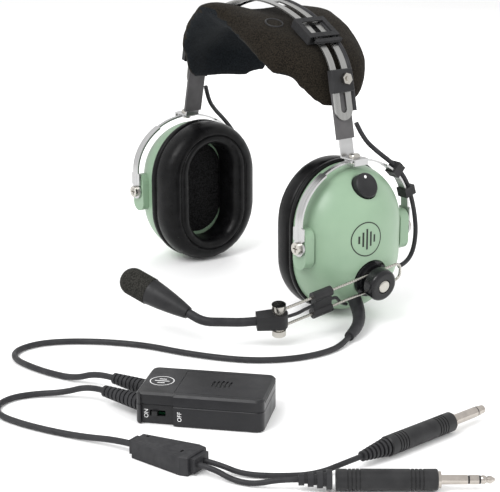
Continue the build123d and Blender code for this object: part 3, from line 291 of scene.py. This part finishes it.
def dress_nodes():
    """Give every CAD node its material."""
    for part in frame["record"]["subparts"]:
        node = part["node"]
        material = NODE_MATERIALS.get(node, SLOT_MATERIALS[part["material_slot"]])
        nodes[node].data.materials.clear()
        nodes[node].data.materials.append(material)


dress_nodes()


# ---------------------------------------------------------------- mesh building blocks
def add_piece(name, vertices, faces, material, body, smooth=True):
    """New mesh object that rides on a body."""
    mesh = bpy.data.meshes.new(name)
    mesh.from_pydata(vertices, [], faces)
    mesh.validate()
    mesh.materials.append(material)
    if smooth:
        mesh.polygons.foreach_set("use_smooth", [True] * len(mesh.polygons))
    piece = bpy.data.objects.new(name, mesh)
    scene.collection.objects.link(piece)
    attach(piece, body)
    return piece


def grid_faces(rows, columns, wrap_rows=False, wrap_columns=False):
    """Quads of a grid of rows by columns, closed round in either direction."""
    faces = []
    for row in range(rows if wrap_rows else rows - 1):
        for column in range(columns if wrap_columns else columns - 1):
            a = row * columns + column
            b = row * columns + (column + 1) % columns
            c = (row + 1) % rows * columns + (column + 1) % columns
            d = (row + 1) % rows * columns + column
            faces.append((a, b, c, d))
    return faces


def subdivide(piece, levels):
    """Smooth subdivision, kept as a modifier."""
    modifier = piece.modifiers.new("subdivision", "SUBSURF")
    modifier.levels = levels
    modifier.render_levels = levels


def face_outward(piece):
    """Make all faces of a closed piece point outward."""
    shape = bmesh.new()
    shape.from_mesh(piece.data)
    bmesh.ops.recalc_face_normals(shape, faces=shape.faces)
    shape.to_mesh(piece.data)
    shape.free()


def between(table, x):
    """Straight-line interpolation in a table of (x, value) rows."""
    if x <= table[0][0]:
        return table[0][1]
    for (x0, v0), (x1, v1) in zip(table, table[1:]):
        if x <= x1:
            return v0 + (v1 - v0) * (x - x0) / (x1 - x0)
    return table[-1][1]


def tube_along(name, points, radius, material, body, cyclic=False):
    """Round tube on a NURBS spline; its control points and radius are in millimetres."""
    curve = bpy.data.curves.new(name, "CURVE")
    curve.dimensions = "3D"
    curve.bevel_depth = radius * MM
    curve.bevel_resolution = 5
    curve.resolution_u = 10
    curve.use_fill_caps = True
    spline = curve.splines.new("NURBS")
    spline.points.add(len(points) - 1)
    for target, point in zip(spline.points, points):
        target.co = (*(c * MM for c in point), 1)
    spline.order_u = 3
    spline.use_endpoint_u = not cyclic
    spline.use_cyclic_u = cyclic
    curve.materials.append(material)
    tube = bpy.data.objects.new(name, curve)
    scene.collection.objects.link(tube)
    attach(tube, body)
    return tube


# ---------------------------------------------------------------- cords
# control points in millimetres, from the end at the object to the far end
MAIN_CORD = (
    (150.5, -42.0, 4.2), (157.5, -54.5, 2.1), (161.0, -75.0, 2.1), (157.0, -98.0, 2.1),
    (144.0, -120.0, 2.1), (125.0, -135.5, 2.1), (102.0, -149.0, 2.1), (79.0, -158.7, 2.1),
    (58.0, -174.0, 2.1), (42.0, -191.0, 2.1), (31.0, -209.0, 2.1), (28.8, -224.0, 2.1),
    (33.5, -237.5, 2.1), (46.0, -244.5, 2.1), (63.0, -243.5, 2.1), (82.0, -239.5, 2.1),
    (101.5, -231.5, 2.1), (118.75, -224.82, 9.5), (132.27, -221.2, 9.5),
)
MODULE_CORD = (
    (146.99, -237.55, 9.5), (135.4, -240.65, 9.5), (120.5, -250.5, 3.0), (109.5, -264.5, 2.0),
    (106.0, -280.0, 2.0), (112.5, -293.5, 2.0), (127.0, -299.5, 2.0), (146.0, -295.0, 2.0),
    (166.0, -287.0, 2.0), (186.0, -276.0, 2.0), (208.76, -267.2, 5.6), (220.0, -263.0, 5.6),
)
HEADPHONE_CORD = (
    (262.9, -243.54, 5.6), (272.27, -240.04, 5.6), (283.0, -232.5, 1.7), (297.0, -218.0, 1.7),
    (307.5, -200.0, 1.7), (313.05, -182.95, 6.3), (312.0, -171.0, 6.3),
)
MIC_CORD = (
    (265.14, -249.54, 5.6), (274.51, -246.04, 5.6), (286.0, -241.5, 1.7), (297.5, -235.0, 1.7),
    (308.78, -226.59, 6.3), (314.8, -218.6, 6.3),
)
# node, piece, control points, radius in mm, length in m, far end, stiffness, nodes on the cord
CORDS = (
    ("main_cord", "main_cord_line", MAIN_CORD, 2.0, 0.363, "object", "medium",
     ("module_bottom", "module_top", "battery_door", "batteries", "module_board", "switch_slider",
      "module_boots")),
    ("module_cord", "module_cord_line", MODULE_CORD, 1.9, 0.194, "object", "limp", ("y_junction",)),
    ("headphone_cord", "headphone_cord_line", HEADPHONE_CORD, 1.6, 0.094, "plug", "limp",
     ("headphone_plug_barrel", "headphone_plug_contacts", "plug_boots", "plug_insulators")),
    ("mic_cord", "mic_cord_line", MIC_CORD, 1.6, 0.060, "plug", "limp",
     ("mic_plug_barrel", "mic_plug_contacts")),
)


def make_cords():
    """The four free cords, drawn as tubes in place of their CAD nodes."""
    for node, name, points, radius, length, far_end, stiffness, carried in CORDS:
        line = tube_along(name, points, radius, RUBBER, "left_cup")
        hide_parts(node)


make_cords()

# ---------------------------------------------------------------- leads held at both ends
STIRRUP_CABLE_R = 1.7
STIRRUP_CABLE = (
    (92.5, 11.0, 138.0), (95.5, 15.5, 126.5), (100.0, 25.0, 116.5), (104.5, 38.5, 105.5),
    (105.5, 48.5, 94.0), (105.5, 54.5, 80.0), (105.0, 59.0, 66.0), (106.0, 60.0, 51.0),
    (108.5, 55.0, 38.0), (110.5, 46.0, 31.5), (111.0, 39.0, 30.5),
)
MIC_LEAD_R = 1.2
MIC_LEAD = (
    (128.99, -79.54, 20.44), (129.33, -71.59, 20.66), (128.86, -61.84, 23.15), (129.5, -37.11, 26.79),
    (124.0, -30.5, 22.0), (120.5, -24.0, 17.0), (118.5, -17.5, 14.5),
)


def make_leads():
    """Interconnect cables on the stirrups, and the microphone lead on the boom."""
    for name, side in (("left", 1), ("right", -1)):
        points = [(side * x, y, z) for x, y, z in STIRRUP_CABLE]
        lead = tube_along(f"{name}_interconnect", points, STIRRUP_CABLE_R, RUBBER, f"{name}_stirrup")
        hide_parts(f"{name}_stirrup_cable")
    lead = tube_along("microphone_lead", MIC_LEAD, MIC_LEAD_R, RUBBER, "boom_rods")
    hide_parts("mic_lead")


make_leads()

# ---------------------------------------------------------------- headband curve
# the spring's inner face: a crown arc, a tighter shoulder arc at each end, then straight legs
SHOULDER_R = 38.0
SHOULDER_X = 49.2
SHOULDER_Z = 161.95
CROWN_R = 117.91
CROWN_Z = 98.99
CROWN_HALF = radians(38)
LEG_TURN = radians(78)
CROWN_LENGTH = CROWN_R * CROWN_HALF
SHOULDER_END = CROWN_LENGTH + SHOULDER_R * (LEG_TURN - CROWN_HALF)


def arch_point(along, y, lift):
    """Point near the headband, in metres: along it from the crown, across it, and out from it."""
    side = 1 if along >= 0 else -1
    along = abs(along)
    if along < CROWN_LENGTH:
        angle = along / CROWN_R
        x = CROWN_R * sin(angle)
        z = CROWN_Z + CROWN_R * cos(angle)
    elif along < SHOULDER_END:
        angle = CROWN_HALF + (along - CROWN_LENGTH) / SHOULDER_R
        x = SHOULDER_X + SHOULDER_R * sin(angle)
        z = SHOULDER_Z + SHOULDER_R * cos(angle)
    else:
        angle = LEG_TURN
        down = along - SHOULDER_END
        x = SHOULDER_X + SHOULDER_R * sin(angle) + down * cos(angle)
        z = SHOULDER_Z + SHOULDER_R * cos(angle) - down * sin(angle)
    return Vector((side * (x + lift * sin(angle)), y, z + lift * cos(angle))) * MM


# ---------------------------------------------------------------- head pad
# distance along the arch from the crown, and the pad's reach to the front and to the back there
PAD_FRONT = (
    (-129, 10), (-118, 22), (-93, 31), (-75, 37), (-48, 44), (-26, 47), (0, 49), (30, 48), (60, 46),
    (78, 42), (95, 35), (110, 27), (121, 18), (129, 8),
)
PAD_BACK = (
    (-129, 22), (-121, 38), (-110, 46), (-90, 49), (-60, 50), (0, 50), (60, 48), (76, 46), (92, 43),
    (110, 37), (122, 28), (129, 14),
)
# distance along the arch, and how far under the spring each edge hangs there
FRONT_EDGE = (
    (-129, -20), (-93, -25), (-75, -19), (-53, -11), (-36, -3), (-20, 2), (-6, -3), (10, -12), (25, -18),
    (50, -24), (78, -28), (110, -24), (129, -14),
)
BACK_EDGE = (
    (-129, -26), (-112, -44), (-80, -44), (-50, -36), (-20, -22), (0, -12), (31, -8), (62, -13), (80, -16),
    (98, -17), (129, -12),
)
# share of the reach, and half the pad's thickness there
PAD_HALF = ((0, 3.6), (0.2, 5.0), (0.5, 9.0), (0.7, 10.0), (0.85, 10.5), (1, 11.0))
# distance from the crown, and the share of that thickness left there
PAD_TAPER = ((0, 1.0), (100, 1.0), (120, 0.8), (129, 0.5))
PAD_UNDER = -10.8
PAD_END = 129.0
PAD_SAG_POWER = 1.7
PAD_ROWS = 72
PAD_COLUMNS = 48
PAD_PRESSURE = 4.0
PAD_PUFF = 0.005
PAD_HUB = Vector((0, 0, 0.13))


def pad_surface(along, turn):
    """Point on the pad's skin; turn goes once round its section."""
    behind = cos(turn) > 0
    reach = between(PAD_BACK if behind else PAD_FRONT, along)
    edge = between(BACK_EDGE if behind else FRONT_EDGE, along)
    share = abs(cos(turn))
    sag = share ** PAD_SAG_POWER
    half = between(PAD_HALF, share) * between(PAD_TAPER, abs(along))
    lift = PAD_UNDER * (1 - sag) + edge * sag + half * sin(turn)
    return arch_point(along, reach * cos(turn), lift)


def pad_start():
    """Slack starting shape of the pad, before it is puffed."""
    vertices = []
    for row in range(PAD_ROWS):
        along = -PAD_END + 2 * PAD_END * row / (PAD_ROWS - 1)
        vertices += [pad_surface(along, 2 * pi * column / PAD_COLUMNS) for column in range(PAD_COLUMNS)]
    faces = grid_faces(PAD_ROWS, PAD_COLUMNS, wrap_columns=True)
    faces.append(tuple(range(PAD_COLUMNS)))
    faces.append(tuple(reversed(range((PAD_ROWS - 1) * PAD_COLUMNS, PAD_ROWS * PAD_COLUMNS))))
    return vertices, faces


def apply_modifiers(piece):
    """Bake what the modifiers show into the mesh."""
    graph = bpy.context.evaluated_depsgraph_get()
    mesh = bpy.data.meshes.new_from_object(piece.evaluated_get(graph))
    piece.modifiers.clear()
    piece.data = mesh


VOXEL = 0.005
PUFF_FRAMES = 20


def inflate(piece, pressure, cap):
    """Puff the piece up with a cloth simulation, and keep each point within cap of where it was."""
    remesh = piece.modifiers.new("remesh", "REMESH")
    remesh.mode = "VOXEL"
    remesh.voxel_size = VOXEL
    apply_modifiers(piece)
    before = [v.co.copy() for v in piece.data.vertices]
    cloth = piece.modifiers.new("cloth", "CLOTH")
    cloth.settings.use_pressure = True
    cloth.settings.uniform_pressure_force = pressure
    cloth.settings.effector_weights.gravity = 0
    cloth.settings.quality = 6
    cloth.point_cache.frame_start = 1
    cloth.point_cache.frame_end = PUFF_FRAMES
    for step in range(1, PUFF_FRAMES + 1):
        scene.frame_set(step)
    apply_modifiers(piece)
    scene.frame_set(1)
    for vertex, start in zip(piece.data.vertices, before):
        move = vertex.co - start
        if move.length > cap:
            vertex.co = start + move.normalized() * cap
    piece.data.polygons.foreach_set("use_smooth", [True] * len(piece.data.polygons))


def relax(piece, rounds):
    """Even out the mesh after a simulation."""
    shape = bmesh.new()
    shape.from_mesh(piece.data)
    for _ in range(rounds):
        bmesh.ops.smooth_vert(
            shape, verts=shape.verts, factor=0.5, use_axis_x=True, use_axis_y=True, use_axis_z=True)
    shape.to_mesh(piece.data)
    shape.free()


def line_inside(pad):
    """Give the faces that look toward the head the lining's colour."""
    pad.data.materials.clear()
    pad.data.materials.append(FLEECE_OUTSIDE)
    pad.data.materials.append(FLEECE_INSIDE)
    for polygon in pad.data.polygons:
        outward = polygon.center - PAD_HUB
        outward.y = 0
        polygon.material_index = 1 if polygon.normal.dot(outward.normalized()) < -0.2 else 0


def roughen(pad):
    """Lumps of padding of two sizes under the fleece."""
    for vertex in pad.data.vertices:
        lumps = noise.noise(vertex.co * 45) * 0.0014 + noise.noise(vertex.co * 120) * 0.0005
        vertex.co += vertex.normal * lumps


def make_head_pad():
    """Fleece head pad, puffed by simulation, brown-black outside and blue-black inside."""
    vertices, faces = pad_start()
    pad = add_piece("head_pad_fleece", vertices, faces, FLEECE_OUTSIDE, "headband")
    face_outward(pad)
    inflate(pad, PAD_PRESSURE, PAD_PUFF)
    line_inside(pad)
    relax(pad, 10)
    roughen(pad)
    subdivide(pad, 1)
    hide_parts("head_pad")
    return pad


head_pad = make_head_pad()

# ---------------------------------------------------------------- ear seals
CUP_Z = 56.5
SEAL_HALF_W = 45.0
SEAL_DEPTH_IN = 25.0      # from the outer outline to the hole
SEAL_STRAIGHT = 11.5      # half the straight side at the outer outline
SEAL_STRAIGHT_GROWTH = 7.0
SEAL_ARC_STEPS = 44
# distance from the middle plane along X, and inset from the seal's outer outline
SEAL_PROFILE = (
    (89.9, 3.0), (89.9, 0.4), (88.9, 0.0), (86.6, 0.1), (85.9, 0.9), (85.4, 2.3), (84.8, 2.4), (84.2, 1.3),
    (82.5, 0.4), (79.0, 0.2), (75.0, 0.6), (71.5, 2.0), (68.6, 4.6), (66.8, 8.0), (66.1, 11.0), (66.3, 12.8),
    (67.3, 13.4), (67.4, 14.0), (66.3, 14.6), (65.8, 16.4), (66.0, 18.6), (67.2, 21.0), (69.8, 23.2),
    (73.5, 24.4), (79.0, 24.8), (86.0, 24.9), (89.9, 24.8),
)


def seal_point(x, inset, turn):
    """Point of the ear seal's ring: two half circles joined by straight sides that grow longer inward."""
    radius = SEAL_HALF_W - inset
    straight = SEAL_STRAIGHT + SEAL_STRAIGHT_GROWTH * min(inset / SEAL_DEPTH_IN, 1)
    y = radius * cos(turn)
    z = radius * sin(turn) + (straight if sin(turn) >= 0 else -straight)
    return Vector((x, y, CUP_Z + z))


def seal_creases(point, x, turn, count, side):
    """How far the vinyl stands out at a point: a slow crease and a finer ripple."""
    crease = noise.noise(Vector((point.y * 0.25, point.z * 0.25, x * 0.05 + side)))
    ripple = noise.noise(Vector((cos(turn) * 14, sin(turn) * 14, count * 0.35)))
    return 0.25 * crease + 0.3 * ripple


def make_ear_seals():
    """Padded vinyl rings with a flange, a side wall, a groove and an inner roll, slightly creased."""
    half_turn = [pi * i / SEAL_ARC_STEPS for i in range(SEAL_ARC_STEPS + 1)]
    turns = half_turn + [pi + turn for turn in half_turn]
    for name, side in (("left", 1), ("right", -1)):
        vertices = []
        for count, (x, inset) in enumerate(SEAL_PROFILE):
            for turn in turns:
                point = seal_point(x, inset, turn)
                if 9 < count < 24:
                    point.x += seal_creases(point, x, turn, count, side)
                vertices.append(Vector((side * point.x, point.y, point.z)) * MM)
        faces = grid_faces(len(SEAL_PROFILE), len(turns), wrap_rows=True, wrap_columns=True)
        seal = add_piece(f"{name}_seal_cushion", vertices, faces, LEATHER, f"{name}_cup")
        face_outward(seal)
        subdivide(seal, 2)
        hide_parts(f"{name}_ear_seal")


make_ear_seals()


# ---------------------------------------------------------------- printed marks
INK_LIFT = 0.08           # how far ink and lettering stand off their surface, in mm
UP = Vector((0, 0, 1))
BACK = Vector((0, 1, 0))
# the battery module's corner on the floor and its two directions
MODULE_YAW = radians(42)
MODULE_CORNER = Vector((184.0, -238.7, 0))
MODULE_ALONG = Vector((cos(MODULE_YAW), sin(MODULE_YAW), 0))
MODULE_ACROSS = Vector((-sin(MODULE_YAW), cos(MODULE_YAW), 0))
MODULE_TOP = 20.0
SWITCH_HEIGHT = 6.5
SWITCH_RECESS = 2.5
LETTER_SIZE = 3.6
# the volume knob's base, its axis and the distance to its face
KNOB_TILT = radians(27)
KNOB_BASE = Vector((114.5, -2.0, 96.5))
KNOB_OUT = Vector((cos(KNOB_TILT), 0, sin(KNOB_TILT)))
KNOB_UP = KNOB_OUT.cross(BACK)
KNOB_HEIGHT = 7.4
POINTER_AT = 6.0
POINTER_R = 1.1
# emblems: middle and radius, then bars by place and half height, as shares of the radius
CUP_EMBLEM_AT = Vector((160, -8, 63))
CUP_EMBLEM_R = 12.5
CUP_EMBLEM_BARS = ((-0.5, 0.22), (-0.25, 0.42), (0, 0.6), (0.25, 0.42), (0.5, 0.22))
MODULE_EMBLEM_ALONG = 11.5
MODULE_EMBLEM_ACROSS = 22.0
MODULE_EMBLEM_R = 7.5
MODULE_EMBLEM_BARS = ((-0.4, 0.3), (0, 0.6), (0.4, 0.3))


def surface_of(piece):
    """Search tree over a piece's shown surface, in world metres."""
    return BVHTree.FromObject(piece, bpy.context.evaluated_depsgraph_get())


def on_surface(tree, start, direction):
    """Where a ray meets a surface, a hair outside it, in millimetres."""
    place = tree.ray_cast(start * MM, direction)[0]
    return place / MM - direction * INK_LIFT


def ring_mark(radius, width, steps=56):
    """Vertices and quads of a flat ring."""
    vertices = []
    for step in range(steps):
        turn = 2 * pi * step / steps
        vertices += [(r * cos(turn), r * sin(turn)) for r in (radius - width, radius)]
    count = len(vertices)
    return vertices, [(i, i + 1, (i + 3) % count, (i + 2) % count) for i in range(0, count, 2)]


def bar_mark(middle, half_length, half_width, steps=8):
    """Vertices and quads of an upright bar, cut into short lengths so it can follow a curve."""
    vertices = []
    for step in range(steps + 1):
        up = -half_length + 2 * half_length * step / steps
        vertices += [(middle - half_width, up), (middle + half_width, up)]
    return vertices, [(2 * i, 2 * i + 1, 2 * i + 3, 2 * i + 2) for i in range(steps)]


def emblem(radius, bars):
    """Generic mark: a ring round a row of level bars; each bar has a place and a half height."""
    shapes = [ring_mark(radius, 0.07 * radius)]
    for place, height in bars:
        shapes.append(bar_mark(place * radius, height * radius, 0.06 * radius))
    return shapes


def print_mark(name, shapes, place, material, body):
    """Lay flat shapes on a surface; place turns each flat point into a point in millimetres."""
    vertices = []
    faces = []
    for points, quads in shapes:
        base = len(vertices)
        vertices += [place(u, v) * MM for u, v in points]
        faces += [tuple(base + corner for corner in quad) for quad in quads]
    add_piece(name, vertices, faces, material, body, smooth=False)


def write_word(name, word, middle, right, up, body):
    """Generic lettering in white ink, centred on a point, with its own right and up directions."""
    curve = bpy.data.curves.new(name, "FONT")
    curve.body = word
    curve.size = LETTER_SIZE * MM
    curve.align_x = "CENTER"
    letters = bpy.data.objects.new(name + "_outline", curve)
    scene.collection.objects.link(letters)
    mesh = bpy.data.meshes.new_from_object(letters.evaluated_get(bpy.context.evaluated_depsgraph_get()))
    vertices = [middle * MM + right * v.co.x + up * v.co.y for v in mesh.vertices]
    faces = [tuple(polygon.vertices) for polygon in mesh.polygons]
    bpy.data.objects.remove(letters)
    add_piece(name, vertices, faces, WHITE_INK, body, smooth=False)


def module_point(along, across, height):
    """Point of the battery module's own frame."""
    return MODULE_CORNER + MODULE_ALONG * along + MODULE_ACROSS * across + Vector((0, 0, height))


def print_cup_emblem():
    """Dark emblem on the left dome, laid onto its curve from outside."""
    dome = surface_of(nodes["left_dome"])

    def on_dome(u, v):
        return on_surface(dome, CUP_EMBLEM_AT + BACK * u + UP * v, Vector((-1, 0, 0)))

    print_mark("cup_emblem", emblem(CUP_EMBLEM_R, CUP_EMBLEM_BARS), on_dome, DARK_INK, "left_cup")


def print_module_marks():
    """White emblem on the module's lid and the switch's two words on its front."""
    def on_lid(u, v):
        return module_point(MODULE_EMBLEM_ALONG - v, MODULE_EMBLEM_ACROSS + u, MODULE_TOP + INK_LIFT)

    print_mark("module_emblem", emblem(MODULE_EMBLEM_R, MODULE_EMBLEM_BARS), on_lid, WHITE_INK, "left_cup")
    for word, along, across in (("ON", 7.6, SWITCH_RECESS), ("OFF", 28.5, 0)):
        middle = module_point(along, across - INK_LIFT, SWITCH_HEIGHT)
        write_word(f"switch_{word.lower()}", word, middle, UP, -MODULE_ALONG, "left_cup")


def print_knob_pointer():
    """White dot near the top of the volume knob's face."""
    def on_knob(u, v):
        return KNOB_BASE + KNOB_OUT * (KNOB_HEIGHT + INK_LIFT) + BACK * u + KNOB_UP * (POINTER_AT + v)

    dot = ring_mark(POINTER_R, POINTER_R, 20)
    print_mark("knob_pointer", [dot], on_knob, WHITE_INK, "volume_knob")


print_cup_emblem()
print_module_marks()
print_knob_pointer()


BUTTON_ALONG = 38.0
BUTTON_ACROSS = -19.0
BUTTON_R = 6.5
BUTTON_POINTS = 20
BUTTON_REACH = 25.0       # how far over and under the spring the pad's skin is looked for


def make_pad_button():
    """Ring pressed into the fleece in front of the spring."""
    pad = surface_of(head_pad)
    rim = []
    for step in range(BUTTON_POINTS):
        turn = 2 * pi * step / BUTTON_POINTS
        along = BUTTON_ALONG + BUTTON_R * cos(turn)
        across = BUTTON_ACROSS + BUTTON_R * sin(turn)
        outside = arch_point(along, across, BUTTON_REACH)
        inside = arch_point(along, across, -BUTTON_REACH)
        place = pad.ray_cast(outside, (inside - outside).normalized())[0]
        rim.append(place / MM)
    tube_along("pad_ring", rim, 0.7, BLACK_PLASTIC, "headband", cyclic=True)


make_pad_button()


# ---------------------------------------------------------------- floor and light
FLOOR_HALF = 6.0
LIGHT_TARGET = Vector((0.05, -0.08, 0.08))
# name, place, size in metres, power in watts
LIGHTS = (
    ("key", (0.3, -1.0, 1.1), 0.7, 12),
    ("fill", (1.4, 0.2, 0.7), 0.8, 6),
    ("rim", (-0.7, 0.9, 0.9), 0.6, 7),
)


def make_floor():
    """Plain pale floor just under the object."""
    mesh = bpy.data.meshes.new("floor")
    corners = [(x * FLOOR_HALF, y * FLOOR_HALF, 0) for x, y in ((-1, -1), (1, -1), (1, 1), (-1, 1))]
    mesh.from_pydata(corners, [], [(0, 1, 2, 3)])
    floor = bpy.data.objects.new("floor", mesh)
    floor.location.z = -0.0002
    paint = moulded("floor_paint", (0.92, 0.92, 0.92), (0.94, 0.94, 0.94), (0.7, 0.8), 3, 200, 0.02)
    mesh.materials.append(paint)
    scene.collection.objects.link(floor)


def make_light():
    """White surround and soft studio lights, of which only the key shows in shiny pieces."""
    world = bpy.data.worlds.new("studio")
    world.use_nodes = True
    background = world.node_tree.nodes["Background"]
    background.inputs["Color"].default_value = (1, 1, 1, 1)
    background.inputs["Strength"].default_value = 1.0
    scene.world = world
    for name, place, size, power in LIGHTS:
        light = bpy.data.objects.new(name, bpy.data.lights.new(name, "AREA"))
        light.data.size = size
        light.data.energy = power
        light.location = place
        aim = Vector(place) - LIGHT_TARGET
        light.rotation_euler = aim.to_track_quat("Z", "Y").to_euler()
        light.visible_glossy = name == "key"
        scene.collection.objects.link(light)


make_floor()
make_light()
